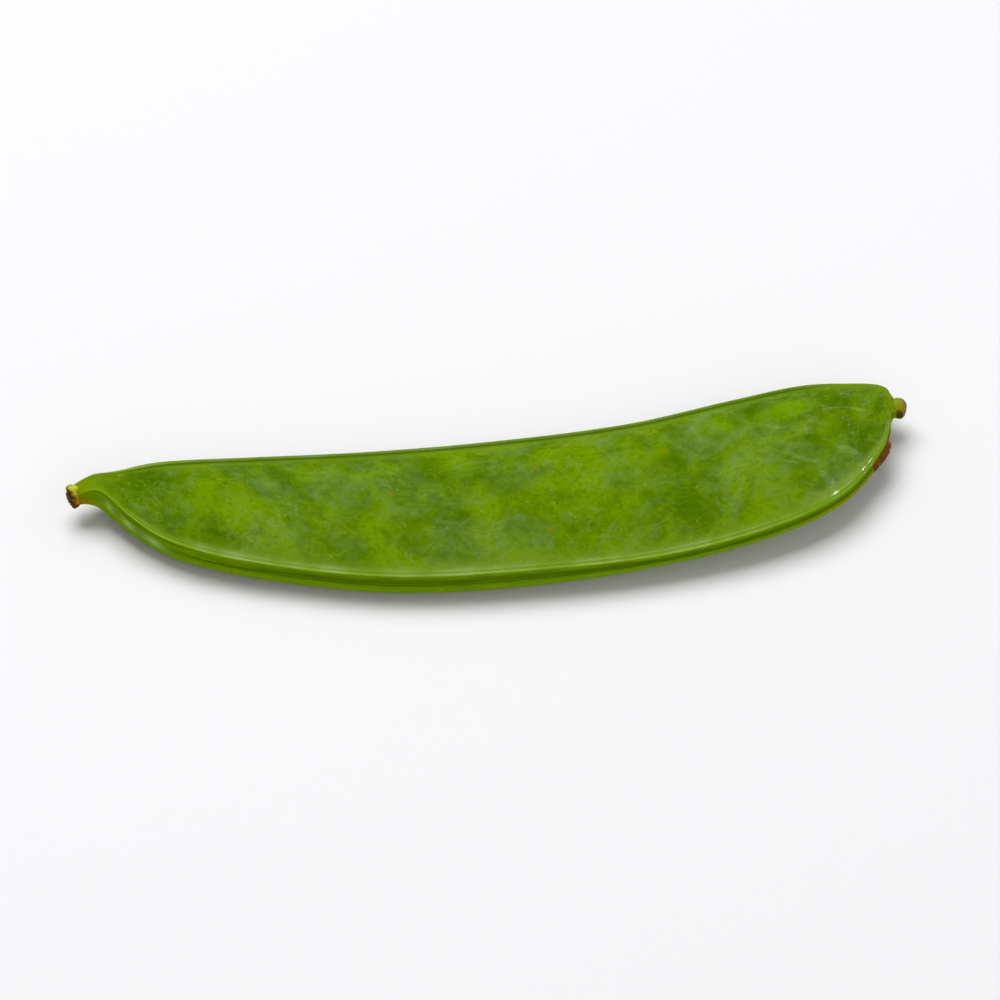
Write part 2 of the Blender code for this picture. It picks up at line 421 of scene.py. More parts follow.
POD_SIZES = {
    "Points round": POINTS_ROUND,
    "Rim share": 0.28,          # share of a half valve's points that its rim takes
    "Seam half": 1.12,          # half thickness of the pod's edge
    "Seam limit": 0.9,          # most that it takes of the pod's own half thickness
    "Seam thinning": 0.40,      # share of it that the edge loses towards the beak
    "Thins from": 42.0,         # places along the middle line between which it thins
    "Thins to": 62.0,
    "Seam width": 0.85,         # from the outer edge to where a valve starts
    "Rim crest": 1.06,          # the rim's height, in half seams
    "Full seam at": 4.5,        # half width from which the seam has its full size
    "Round below": 1.0,         # half width below which the pod is a round stub
    "Flat above": 2.0,          # half width above which it is a flat pod
    "Valve fullness": 2.3,
    "Seed across": 0.52,        # place across the pod: 0 is the middle, 1 the seed seam
    "Seed half width": 3.4,
    "Wave height": 0.16,        # slow unevenness
    "Wave length": 11.0,
    "Pucker height": 0.09,      # small dents between the veins
    "Pucker length": 3.2,
    "Valves apart": 9.0,        # how far to either side these are read, so that the valves differ
    "Twist": math.radians(7.0),
    "Twist line": -0.45 * POD_WIDTH,
    "Neck twist": math.radians(26.0),   # the neck turns more, about its own middle
    "Neck twist end": 9.0,      # place along the middle line where that turn has gone
    "Stem lift": 0.3,           # how far each end rises above the middle
    "Beak lift": 1.3,
    "Pod length": POD_LENGTH,
    "Contact bite": 0.42,       # depth of the flat spots that the pod rests on
    "Merge within": 0.0005,     # points nearer to each other than this become one
}


def pod_form(bench, given):
    """Sweeps the valve's section along the middle line, then lifts, twists and settles the pod."""
    points_round = given["Points round"]

    # Which ring and which spoke a point of the grid belongs to.
    shape = bench.add("GeometryNodeMeshGrid", Vertices_X=given["Rings"], Vertices_Y=points_round)
    index = bench.add("GeometryNodeInputIndex")
    ring = bench.math("FLOOR", (index + 0.5) / points_round)
    spoke = index - ring * points_round
    turn = spoke / (points_round - 1)       # 0 to 1, all the way round
    under = turn > 0.5
    side = 1 - 2 * under
    over = 1 - abs(2 * turn - 1)            # 0 at the seed seam, 1 at the bowed seam
    toward = 1 - 2 * (over > 0.5)
    inward = 1 - abs(2 * over - 1)          # 0 in a groove, 1 at the valve's middle
    rim_way = inward / given["Rim share"]
    on_rim = bench.clamp(rim_way)
    on_valve = bench.clamp((inward - given["Rim share"]) / (1 - given["Rim share"]))

    def on_midline(name, kind="FLOAT"):
        return bench.add(
            "GeometryNodeSampleIndex", {"data_type": kind, "domain": "POINT"},
            Geometry=given["Geometry"], Value=stored(bench, name, kind), Index=ring)

    place, half_width, half_thick = (on_midline(n) for n in ("place", "half_width", "half_thick"))
    seed_rise, closing = on_midline("seed_rise"), on_midline("closing")
    middle, across_way = (on_midline(n, "FLOAT_VECTOR") for n in ("position", "across_way"))

    # The flat pod's section: a grooved rim at each seam, and an arched valve between them.
    seam = bench.math("MINIMUM", 1.0, half_width / given["Full seam at"])
    thinned = 1 - given["Seam thinning"] * bench.smooth(place, given["Thins from"], given["Thins to"])
    seam_half = bench.math("MINIMUM", given["Seam half"] * thinned, given["Seam limit"] * half_thick)
    crest = given["Rim crest"] * seam_half
    rim_in = bench.add("ShaderNodeFloatCurve", {"points": RIM_IN}, Value=on_rim)
    rim_up = bench.add("ShaderNodeFloatCurve", {"points": RIM_UP}, Value=on_rim)
    seam_width = given["Seam width"] * seam
    valve_half = half_width - seam_width
    flat_across = (valve_half + (1 - rim_in) * seam_width) * (1 - on_valve) * toward
    share_across = bench.math("MINIMUM", 1.0, abs(flat_across / valve_half))
    arch = 1 - share_across ** given["Valve fullness"]
    on_skin = bench.vector(place, flat_across, given["Valves apart"] * side)
    wave = (bench.noise(on_skin, 1 / given["Wave length"]) - 0.5) * (2 * given["Wave height"])
    pucker = bench.noise(on_skin, 1 / given["Pucker length"], 1.0, 0.4, 0.6) - 0.5
    seed_off = (flat_across - given["Seed across"] * half_width) / given["Seed half width"]
    seed_across = bench.math("EXPONENT", -(seed_off * seed_off))
    uneven = wave + seed_rise * seed_across + pucker * given["Pucker height"]
    flat_up = rim_up * crest + arch * (half_thick - crest + uneven)

    # The stub and the beak are round, and pass smoothly into the flat pod.
    angle = math.pi * over
    flatness = bench.smooth(half_width, given["Round below"], given["Flat above"])
    round_across = half_width * bench.math("COSINE", angle)
    round_up = half_thick * bench.math("SINE", angle)
    across = (round_across + flatness * (flat_across - round_across)) * closing
    up = (round_up + flatness * (flat_up - round_up)) * side * closing

    for name, value in (
        ("along", place), ("across", flat_across), ("rim_way", rim_way), ("under", under),
        ("seed", on_midline("seed_near") * seed_across), ("ring", ring),
    ):
        shape = store(bench, shape, name, value)
    map_share = 1 - 2 * MAP_MARGIN
    laid_out = bench.vector(
        MAP_MARGIN + map_share * ring / (given["Rings"] - 1), MAP_MARGIN + map_share * turn, 0)
    shape = store(bench, shape, "OFBake", laid_out, "FLOAT2", "CORNER")
    shape = placed(bench, shape, twisted(bench, given, place, middle, across_way, across, up))
    shape = bench.add("GeometryNodeMergeByDistance", Geometry=shape, Distance=given["Merge within"])
    return settled(bench, given, bench.add("GeometryNodeFlipFaces", Mesh=shape))


def twisted(bench, given, place, middle, across_way, across, up):
    """A section's points in the pod, with the neck's twist and the whole pod's bow and twist."""
    neck = given["Neck twist"] * (1 - bench.smooth(place, 0.0, given["Neck twist end"]))
    cosine, sine = bench.math("COSINE", neck), bench.math("SINE", neck)
    across, up = across * cosine + up * sine, up * cosine - across * sine
    x, y, _ = bench.parts(bench.vector_math("ADD", middle, bench.scaled(across_way, across)))
    share = 2 * x / given["Pod length"] - 1
    end_lift = given["Stem lift"] + (share > 0.0) * (given["Beak lift"] - given["Stem lift"])
    lean = share * given["Twist"] * -0.5
    off_line = y - given["Twist line"]
    cosine, sine = bench.math("COSINE", lean), bench.math("SINE", lean)
    return bench.vector(
        x,
        given["Twist line"] + off_line * cosine - up * sine,
        off_line * sine + up * cosine + end_lift * share * share,
    )


def settled(bench, given, shape):
    """The pod at rest: its lowest places go flat, and it moves to its resting place, in metres."""
    def corner(geometry, which):
        return bench.add("GeometryNodeBoundBox", output=which, Geometry=geometry)

    x, y, z = bench.parts(position(bench))
    floor = bench.parts(corner(shape, "Min"))[2] + given["Contact bite"]
    shape = placed(bench, shape, bench.vector(x, y, bench.math("MAXIMUM", z, floor)))
    low, high = corner(shape, "Min"), corner(shape, "Max")
    centre = bench.parts(bench.scaled(bench.vector_math("ADD", low, high), 0.5))
    foot = bench.vector(centre[0], centre[1], bench.parts(low)[2])
    from_foot = bench.scaled(bench.vector_math("SUBTRACT", position(bench), foot), MM)
    return placed(bench, shape, bench.vector_math("ADD", from_foot, given["Resting place"]))


def build_pod_skin(material):
    midline, rings = midline_object()
    low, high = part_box("pod")
    at_rest = {"Rings": rings, "Resting place": ((low.x + high.x) / 2, (low.y + high.y) / 2, low.z)}
    skin = grow("pod_skin", midline, pod_form, {**POD_SIZES, **at_rest}, material)
    bpy.data.objects.remove(midline)
    return skin


# ======== small pieces at the pod's ends ========

COLLAR_SIZES = {
    "Lobes": 7,                 # stumps of the calyx, round the stub
    "Across": 0.97,
    "Up": 0.95,
    "Place": -0.14,             # from the stub's end
    "Place low": -0.16,         # and how much further in or out a lobe may lie
    "Place high": 0.18,
    "Band": 0.27,               # half thickness of the ring that joins the lobes
    "Lobe size": 0.46,
    "Lobe low": (0.75, 0.55, 0.55),     # least and most of it, each way
    "Lobe high": (1.20, 1.0, 1.0),
    "Nodule size": 0.47,        # the swollen lobe on top
    "Nodule shape": (1.12, 0.95, 0.82),
    "Nodule place": (-0.22, -0.42, 0.88),
    "Roughening": 0.08,
    "Draw": 11,
}
BREAK_SIZES = {
    "Fibres": 52,
    "Across": 0.80,
    "Up": 0.80,
    "Place": 0.12,              # from the stub's end
    "Place low": -0.10,         # and how much further in or out a fibre may stand
    "Place high": 0.08,
    "Dome": 0.22,               # how much further out the middle stands than the edge
    "Slant": -0.15,             # and how much further the seed side, for each millimetre across
    "Fibre length": 0.26,
    "Fibre half": 0.10,
    "Fibre taper": 0.25,
    "Fibre low": (0.6, 0.8, 0.8),       # least and most of its size, each way
    "Fibre high": (1.2, 1.5, 1.5),
    "Lean low": (-0.25, -0.4, -0.4),    # how far a fibre turns, in radians
    "Lean high": (0.25, 0.4, 0.4),
    "Core half": 0.50,          # of the rounded lump that the fibres stand in
    "Core place": -0.15,
    "Core spread": 1.3,         # how much wider it is than the ring of fibres
    "Roughening": 0.05,
    "Draw": 5,
}
TIP_SIZES = {
    "Length": 1.70,
    "Place": -0.18,             # of its middle, from the beak's last ring
    "Half across": 1.08,
    "Half up": 1.02,
    "Squareness": 2.7,          # 2 is an ellipsoid, and more is blunter
    "Droop": 0.20,              # how far its end hangs towards the bowed seam
    "Wrinkles": 0.07,
    "Wrinkle stretch": (0.45, 1.9, 1.9),        # they run lengthwise
}
SCAR_SIZES = {
    "Start": SCAR_START,
    "End": SCAR_END,
    "Reach above": 0.40,        # how far up the rim it goes on the upper valve
    "Reach below": 0.80,
    "Ragged": 0.34,
    "Bed": 0.12,                # depth of its root in the skin
    "Crust": 0.32,
    "First crust": 0.4,         # share of it that the scar's start has
    "Lump": 1.10,               # how much more it stands out at the beak's end
    "Merge within": 0.001,
}
COLLAR_VOXEL, COLLAR_BUMPS = 0.055, 0.55       # grain of the fused shape, and length of its bumps
BREAK_VOXEL, BREAK_BUMPS = 0.045, 0.25
GOLDEN_TURN = math.radians(137.5)              # spreads the stem's fibres evenly over its face


def random_value(bench, given, label, kind="FLOAT"):
    """A value between the low and the high one of a size, drawn for each point."""
    first, output = {"FLOAT": (2, 1), "FLOAT_VECTOR": (0, 0)}[kind]
    limits = {first: given[label + " low"], first + 1: given[label + " high"]}
    return bench.add("FunctionNodeRandomValue", {"data_type": kind}, limits, output, Seed=given["Draw"])


def roughened(bench, geometry, where, scale, height):
    """Pushes every point along its normal by even noise."""
    push = (bench.noise(where, scale) - 0.5) * (height * 2)
    return pushed(bench, geometry, bench.scaled(bench.add("GeometryNodeInputNormal"), push))


def fused(bench, given, voxel, bumps, *shapes):
    """One closed, uneven skin round several shapes."""
    mesh = bench.add("GeometryNodeRealizeInstances", Geometry=joined(bench, *shapes))
    by_size = {"resolution_mode": "VOXEL_SIZE"}
    volume = bench.add(
        "GeometryNodeMeshToVolume", by_size, Mesh=mesh, Voxel_Size=voxel, Interior_Band_Width=voxel * 6)
    mesh = bench.add("GeometryNodeVolumeToMesh", by_size, Volume=volume, Voxel_Size=voxel, Threshold=0.1)
    return store_place(bench, roughened(bench, mesh, position(bench), 1 / bumps, given["Roughening"]))


def ball(bench, radius, subdivisions=4):
    return bench.add("GeometryNodeMeshIcoSphere", Radius=radius, Subdivisions=subdivisions)


def curve_circle(bench, points, radius):
    return bench.add(
        "GeometryNodeCurvePrimitiveCircle", {"mode": "RADIUS"}, Resolution=points, Radius=radius)


def collar_form(bench, given):
    """Lumpy stumps of the calyx on a ring round the stem stub. X points out of the stub's end."""
    x, y, _ = bench.parts(position(bench))
    round_x, round_y = x * given["Across"], y * given["Up"]
    out = given["Place"] + random_value(bench, given, "Place")
    ring = bench.add("GeometryNodeMeshCircle", Vertices=given["Lobes"], Radius=1.0)
    ring = placed(bench, ring, bench.vector(out, round_x, round_y))
    lobes = bench.add(
        "GeometryNodeInstanceOnPoints", Points=ring, Instance=ball(bench, given["Lobe size"]),
        Scale=random_value(bench, given, "Lobe", "FLOAT_VECTOR"))
    nodule = bench.add(
        "GeometryNodeTransform", Geometry=ball(bench, given["Nodule size"]),
        Translation=given["Nodule place"], Scale=given["Nodule shape"])
    around = bench.vector(given["Place"], round_x, round_y)
    band = bench.add(
        "GeometryNodeCurveToMesh", Curve=placed(bench, curve_circle(bench, 64, 1.0), around),
        Profile_Curve=curve_circle(bench, 20, given["Band"]))
    return fused(bench, given, COLLAR_VOXEL, COLLAR_BUMPS, lobes, nodule, band)


def break_form(bench, given):
    """The torn end of the stem: short stiff fibres that stand out of a ragged face."""
    index = bench.add("GeometryNodeInputIndex")
    radius = bench.math("SQRT", (index + 0.5) / given["Fibres"])
    angle = index * GOLDEN_TURN
    across = bench.math("COSINE", angle) * radius * given["Across"]
    up = bench.math("SINE", angle) * radius * given["Up"]
    dome = (1 - radius * radius) * given["Dome"]
    out = dome + random_value(bench, given, "Place") + across * given["Slant"] + given["Place"]
    spots = bench.add(
        "GeometryNodePoints", Count=given["Fibres"], Position=bench.vector(out, across, up))
    fibre = bench.add(
        "GeometryNodeMeshCone", Vertices=10, Side_Segments=3, Depth=given["Fibre length"],
        Radius_Top=given["Fibre half"] * (1 - given["Fibre taper"]),
        Radius_Bottom=given["Fibre half"] * (1 + given["Fibre taper"]))
    laid = bench.add("GeometryNodeTransform", Geometry=fibre, Rotation=(0, math.pi / 2, 0))
    fibres = bench.add(
        "GeometryNodeInstanceOnPoints", Points=spots, Instance=laid,
        Rotation=random_value(bench, given, "Lean", "FLOAT_VECTOR"),
        Scale=random_value(bench, given, "Fibre", "FLOAT_VECTOR"))
    spread = given["Core spread"]
    core = bench.add(
        "GeometryNodeTransform", Geometry=ball(bench, 1.0),
        Translation=bench.vector(given["Core place"], 0.0, 0.0),
        Scale=bench.vector(given["Core half"], given["Across"] * spread, given["Up"] * spread))
    return fused(bench, given, BREAK_VOXEL, BREAK_BUMPS, fibres, core)


def tip_form(bench, given):
    """The dry end of the style: a blunt wrinkled knob over the beak. X points out of the beak."""
    x, y, z = bench.parts(position(bench))
    blunt = given["Squareness"]
    ends = bench.math("MINIMUM", 1.0, abs(x))
    girth = (1 - ends ** blunt) ** (1 / blunt)
    round_off = girth / bench.math("MAXIMUM", 0.02, bench.math("SQRT", y * y + z * z))
    hang = bench.math("MAXIMUM", 0.0, x) ** 1.5 * given["Droop"]
    shaped = bench.vector(
        x * given["Length"] * 0.5 + given["Place"],
        y * round_off * given["Half across"] - hang,
        z * round_off * given["Half up"],
    )
    knob = store(bench, ball(bench, 1.0, 6), "way", (x + 1) * 0.5)
    wrinkle_way = bench.vector_math("MULTIPLY", position(bench), given["Wrinkle stretch"])
    knob = roughened(bench, placed(bench, knob, shaped), wrinkle_way, 1.5, given["Wrinkles"])
    return store_place(bench, knob)


def scar_form(bench, given):
    """A closed crust of cork on the bowed seam, grown from the skin that it starts as."""
    along, across, rim_way, under = (
        stored(bench, name) for name in ("along", "across", "rim_way", "under"))
    here = bench.scaled(position(bench), 1 / MM)
    middle = (given["Start"] + given["End"]) * 0.5
    half = (given["End"] - given["Start"]) * 0.5
    above, below = given["Reach above"], given["Reach below"]
    upwards = rim_way / (above + under * (below - above))
    speckle = bench.noise(here, 1.5, 3.0) - 0.5
    reach = 1 - bench.math("MAXIMUM", abs((along - middle) / half), upwards)
    reach = reach + speckle * given["Ragged"]
    patch = bench.add(
        "GeometryNodeDeleteGeometry", {"domain": "POINT"}, Geometry=given["Geometry"],
        Selection=(reach < 0.0) + (across > 0.0))
    patch = bench.add("GeometryNodeSubdivideMesh", Mesh=patch, Level=1)
    patch = store(bench, patch, "reach", reach)
    patch = store(bench, patch, "skin_way", bench.add("GeometryNodeInputNormal"), "FLOAT_VECTOR")
    skin_way = stored(bench, "skin_way", "FLOAT_VECTOR")
    bed = pushed(bench, patch, bench.scaled(skin_way, given["Bed"] * -MM))
    lid = bench.add(
        "GeometryNodeExtrudeMesh", {"mode": "FACES"}, Mesh=bed, Individual=False,
        Offset=bench.scaled(skin_way, given["Bed"] * MM))
    on_lid = Wire(bench, lid.socket.node.outputs["Top"])
    crumbs = bench.noise(here, 2.6) - 0.5
    swollen = given["First crust"] + given["Lump"] * bench.smooth(along, given["Start"], given["End"])
    height = bench.smooth(stored(bench, "reach"), -0.05, 0.35) * (0.75 + crumbs) * swollen
    lid = pushed(bench, lid, bench.scaled(skin_way, height * given["Crust"] * MM), on_lid)
    shape = joined(bench, lid, bench.add("GeometryNodeFlipFaces", Mesh=bed))
    return bench.add(
        "GeometryNodeMergeByDistance", Geometry=shape, Distance=given["Merge within"] * MM)


def ring_frame(skin, ring, inner_ring):
    """Placing matrix at a ring's middle: X away from the inner ring, Y to the seed seam, and Z up."""
    mesh = skin.data
    count = len(mesh.vertices)
    points = np.empty(count * 3, np.float32)
    mesh.vertices.foreach_get("co", points)
    points = points.reshape(-1, 3)
    rings, across = np.empty(count, np.float32), np.empty(count, np.float32)
    mesh.attributes["ring"].data.foreach_get("value", rings)
    mesh.attributes["across"].data.foreach_get("value", across)

    def middle(k):
        return Vector(points[rings == k].mean(0).tolist())

    here = rings == ring
    seed_point = points[here][across[here].argmax()]
    bowed_point = points[here][across[here].argmin()]
    out = (middle(ring) - middle(inner_ring)).normalized()
    up = out.cross(Vector((seed_point - bowed_point).tolist())).normalized()
    seedward = up.cross(out)
    if up.z < 0:
        up = -up
    turn = Matrix((out, seedward, up)).transposed().to_4x4()
    return Matrix.Translation(middle(ring)) @ turn @ Matrix.Scale(MM, 4)


def seated(name, form, sizes, material, place):
    """A small piece, grown in millimetres round the origin and then put in its place."""
    start = points_object(name + "_start", [(0, 0, 0)])
    piece = grow(name, start, form, sizes, material)
    bpy.data.objects.remove(start)
    piece.data.transform(place)
    if place.determinant() < 0:
        piece.data.flip_normals()
    return piece


# ======== colours and finishes ========


def paint(red, green, blue):
    """A paint's usual 0 to 255 numbers, as the linear colour that a shader takes."""
    def linear(part):
        share = part / 255
        return share / 12.92 if share <= 0.04045 else ((share + 0.055) / 1.055) ** 2.4
    return (linear(red), linear(green), linear(blue), 1.0)


class Finish(Bench):
    """A material with one Principled shader, whose constant sockets are given by name."""

    def __init__(self, name, **constants):
        self.material = bpy.data.materials.new(name)
        self.material.use_nodes = True
        super().__init__(self.material.node_tree)
        self.shader = self.tree.nodes["Principled BSDF"]
        self.colour = None
        for label, value in constants.items():
            self.shader.inputs[label.replace("_", " ")].default_value = value

    def attribute(self, name):
        return self.add("ShaderNodeAttribute", {"attribute_name": name}, output="Fac")

    def cells(self, where, scale, feature="F1"):
        """How far a place is from the nearest cell's point, or with DISTANCE_TO_EDGE from its edge."""
        return self.add("ShaderNodeTexVoronoi", {"feature": feature}, Vector=where, Scale=scale)

    def ground(self, mask, one, other):
        """The first paints: one where the mask is 0, and the other where it is 1."""
        self.colour = self.colour_mix(mask, paint(*one), paint(*other))

    def tint(self, amount, *rgb):
        """Another paint over the colour so far, as much of it as amount says, from 0 to 1."""
        self.colour = self.colour_mix(amount, self.colour, paint(*rgb))

    def patches(self, value, low, high, amount, *rgb):
        """A paint that is absent where the value is low, and has its full amount where it is high."""
        self.tint(self.smooth(value, low, high) * amount, *rgb)

    def finished(self, roughness, height, depth, **more):
        """The material, with its shader connected. A height of 0 to 1 stands for depth millimetres."""
        bent = self.add("ShaderNodeBump", Strength=1.0, Distance=depth * MM, Height=height)
        wires = {"Base_Color": self.colour, "Roughness": roughness, "Normal": bent, **more}
        for label, wire in wires.items():
            self.tree.links.new(wire.socket, self.shader.inputs[label.replace("_", " ")])
        return self.material


class SkinFinish(Finish):
    """The pod skin's finish. Its layers, the functions below, paint it one after the other, and add
    to its height, roughness and gloss."""

    def __init__(self):
        super().__init__(
            "pod_skin", IOR=1.42, Specular_IOR_Level=0.0, Subsurface_Weight=0.08,
            Subsurface_Radius=(0.35, 0.6, 0.02), Subsurface_Scale=0.0010, Coat_Roughness=0.14)
        self.along, self.across, self.under, self.rim_way, self.seed = (
            self.attribute(name) for name in ("along", "across", "under", "rim_way", "seed"))
        self.apart = self.under * SKINS_APART
        self.flat = self.vector(self.along, self.across, self.apart)
        self.warp = self.noise(self.flat, 0.35) - 0.5
        self.ripple = self.noise(self.flat, 1.1) - 0.5
        self.by_seeds = self.smooth(self.across, 0.2, 1.2)
        self.by_bow = 1 - self.by_seeds
        self.at_neck = self.before(*NECK_SEAM)
        self.height = self.noise(self.flat, 3.2) * 0.30
        self.roughness = 0.50
        self.gloss = 0.0

    def elsewhere(self, x, y):
        """The skin's places moved away, so that a pattern read there is a new one."""
        return self.vector_math("ADD", self.flat, (x, y, 3.0))

    def on_rim(self, way, half):
        """1 on a line along the rim, at a share of the way from its groove to the valve."""
        return self.bell(self.rim_way, way, half)

    def after(self, start, end):
        return self.smooth(self.along, start, end)

    def before(self, start, end):
        return self.smooth(self.along, end, start)

    def short_spots(self, places):
        return self.clamp(sum(self.bell(self.along, middle, half) for middle, half in places))


def leaf_green(skin):
    """Leaf green in broad patches, yellower over the seeds, with painted light over a stretch towards
    the blunt end.
    """
    broad = skin.noise(skin.flat, 0.12, 2.0, 0.5, 0.4)
    skin.ground(skin.smooth(broad, 0.38, 0.62), (71, 105, 0), (87, 121, 0))
    over_seed = skin.smooth(skin.seed + skin.warp * 1.1 + skin.ripple * 0.3, 0.55, 1.00)
    skin.tint(over_seed * 0.55, 104, 144, 0)
    sunny = skin.smooth(skin.noise(skin.elsewhere(90.0, 33.0), 0.11, 2.0, 0.5, 0.5), 0.50, 0.64)
    skin.tint(sunny * 0.58, 113, 146, 0)
    # Painted light: the valves a little lighter from the middle to near the blunt end.
    painted_light_stretch = skin.after(*PAINTED_LIGHT_STRETCH[0]) * skin.before(*PAINTED_LIGHT_STRETCH[1])
    skin.tint(painted_light_stretch * 0.10, 112, 150, 0)


def mottling(skin):
    """Light and dark spots, in two sizes."""
    blotch = skin.noise(skin.elsewhere(5.0, 60.0), 0.26, 2.0, 0.5, 0.5)
    skin.patches(blotch, 0.50, 0.68, 0.50, 106, 144, 2)
    skin.patches(blotch, 0.50, 0.32, 0.46, 52, 92, 0)
    grain = skin.noise(skin.elsewhere(70.0, 20.0), 1.15, 2.0, 0.55, 0.4)
    skin.patches(grain, 0.53, 0.70, 0.28, 112, 147, 8)
    skin.patches(grain, 0.47, 0.30, 0.26, 50, 88, 0)
    skin.height += grain * 0.35


def veins(skin):
    """A fine net of paler veins, a finer one inside it, and dark freckles."""
    bent = skin.vector(
        skin.along + skin.warp * 3.4 + skin.ripple * 0.7 + skin.across * 0.35,
        skin.across * 1.35 + skin.warp * 2.4 - skin.ripple * 0.8,
        skin.apart,
    )
    fade = skin.smooth(skin.noise(skin.flat, 0.21), 0.38, 0.66)
    for scale, width, least, more, height, rgb in (
        (0.50, 0.12, 0.03, 0.16, 0.22, (122, 152, 36)),
        (1.50, 0.24, 0.02, 0.10, 0.14, (116, 148, 24)),
    ):
        net = skin.smooth(skin.cells(bent, scale, "DISTANCE_TO_EDGE"), width, 0.0)
        skin.tint(net * (least + fade * more), *rgb)
        skin.height += net * height
    freckle = skin.noise(skin.flat, 1.9, 2.0, 0.6)
    skin.patches(freckle, 0.50, 0.70, 0.28, 42, 80, 0)
    skin.height += freckle * 0.25
    skin.roughness += (freckle - 0.5) * 0.16


def wax_veil_and_painted_sheen(skin):
    """A thin greyish veil of wax in drifts, partly painted sheen, with pale curls, streaks near the
    blunt end and arcs round the seeds that are painted sheen.
    """
    # Wax veil, partly a painted sheen; it also roughens the skin.
    drift = skin.smooth(skin.noise(skin.elsewhere(31.0, 7.0), 0.17, 2.0, 0.55, 0.6), 0.45, 0.64)
    mist = skin.smooth(skin.noise(skin.elsewhere(13.0, 27.0), 0.60, 4.0, 0.6, 0.9), 0.40, 0.68)
    bloom_and_sheen = drift * (0.22 + mist * 0.78)
    skin.tint(bloom_and_sheen * 0.48, 105, 135, 68)
    skin.roughness += bloom_and_sheen * 0.10
    # painted reflections: thin pale curls
    painted_sheen_curl = skin.bell(skin.noise(skin.flat, 0.40, 3.0, 0.5, 1.4), 0.5, 0.034)
    painted_sheen_curl = painted_sheen_curl * skin.smooth(skin.noise(skin.flat, 0.16), 0.50, 0.62)
    skin.tint(painted_sheen_curl * 0.15, 142, 168, 92)
    # painted sheen: pale streaks near the blunt end and arcs round the seeds
    painted_sheen_streak_way = skin.vector(
        skin.along * 0.30 - skin.across * 0.22, skin.across * 1.1 + skin.along * 0.75, skin.apart)
    painted_sheen_streak = skin.smooth(skin.noise(painted_sheen_streak_way, 0.8, 3.0, 0.55, 0.5), 0.55, 0.72)
    painted_sheen_streak = painted_sheen_streak * skin.smooth(skin.along + skin.warp * 9.0, 68.0, 75.0)
    painted_seed_sheen = skin.bell(skin.seed + skin.warp * 0.6 + skin.ripple * 0.35, 0.42, 0.14)
    painted_seed_sheen = painted_seed_sheen * (drift * 0.30 + skin.after(50.0, 72.0) * 0.40)
    skin.tint(skin.clamp(painted_sheen_streak * 0.8 + painted_seed_sheen * 0.7) * 0.36, 140, 168, 96)


def specks(skin):
    """The last seed's bright spot, tiny pale specks, and a few orange flecks."""
    off_along = (skin.along + skin.across * 0.15 + skin.warp * 1.2 - LAST_SPOT[0]) / 3.3
    off_across = (skin.across + skin.warp - LAST_SPOT[1]) / 1.9
    off_spot = off_along * off_along + off_across * off_across + skin.ripple
    skin.patches(off_spot, 1.40, 0.30, 0.48, 106, 146, 0)
    skin.patches(skin.cells(skin.flat, 0.9), 0.13, 0.06, 0.28, 150, 178, 110)
    fleck = skin.cells(skin.elsewhere(11.0, 40.0), 0.16) + skin.ripple * 0.1
    skin.patches(fleck, 0.09, 0.03, 0.5, 132, 124, 0)


def fibrous_rim(skin):
    """A pale ridge, a painted highlight along the crest that also gets gloss, over a yellow-green band
    with lengthwise fibres, and painted shade along the seed seam's edge.
    """
    fibre_way = skin.vector(skin.along * 0.25, skin.rim_way * 6.0, skin.apart + skin.across * 0.02)
    fibre = skin.noise(fibre_way, 1.6, 3.0, 0.6)
    band = skin.smooth(skin.rim_way, 1.12, 0.92)
    fibres = skin.colour_mix(skin.smooth(fibre, 0.35, 0.7), paint(92, 128, 0), paint(112, 147, 0))
    skin.colour = skin.colour_mix(band * 0.9, skin.colour, fibres)
    skin.height += band * (fibre - 0.5) * 0.7
    at_crest = skin.smooth(skin.rim_way, 0.45, 0.75) * skin.smooth(skin.rim_way, 1.5, 1.0)
    skin.tint(at_crest * 0.45, 112, 144, 26)
    crest_highlight_and_gloss_way = skin.vector(skin.along, 0.0, skin.under * CREST_HIGHLIGHT_APART)
    crest_highlight_and_gloss = 0.35 + skin.smooth(skin.noise(crest_highlight_and_gloss_way, 0.22), 0.40, 0.62)
    crest_highlight_and_gloss = crest_highlight_and_gloss * (1 - 0.8 * skin.smooth(skin.along + skin.warp * 6.0, 68.0, 76.0))
    crest_highlight_and_gloss = crest_highlight_and_gloss * (1 - 0.75 * skin.by_seeds) * (1 - 0.75 * skin.at_neck)
    # Painted highlight: a pale line along the crest, and a weaker one where the valve starts.
    ridge = skin.on_rim(0.72, 0.11) + skin.on_rim(1.02, 0.12) * 0.35
    skin.tint(skin.clamp(ridge * crest_highlight_and_gloss) * 0.55, 148, 172, 74)
    skin.tint(skin.on_rim(0.88, 0.07) * 0.30, 60, 98, 0)
    # Painted shade along the seed seam's edge, fading out towards the beak.
    painted_shade_edge = skin.by_seeds * skin.before(*SHADED_SEED_EDGE)
    skin.tint(skin.on_rim(0.90, 0.16) * painted_shade_edge * 0.62, 40, 74, 0)
    skin.roughness += ridge * -0.12
    skin.gloss += ridge * crest_highlight_and_gloss * 0.50


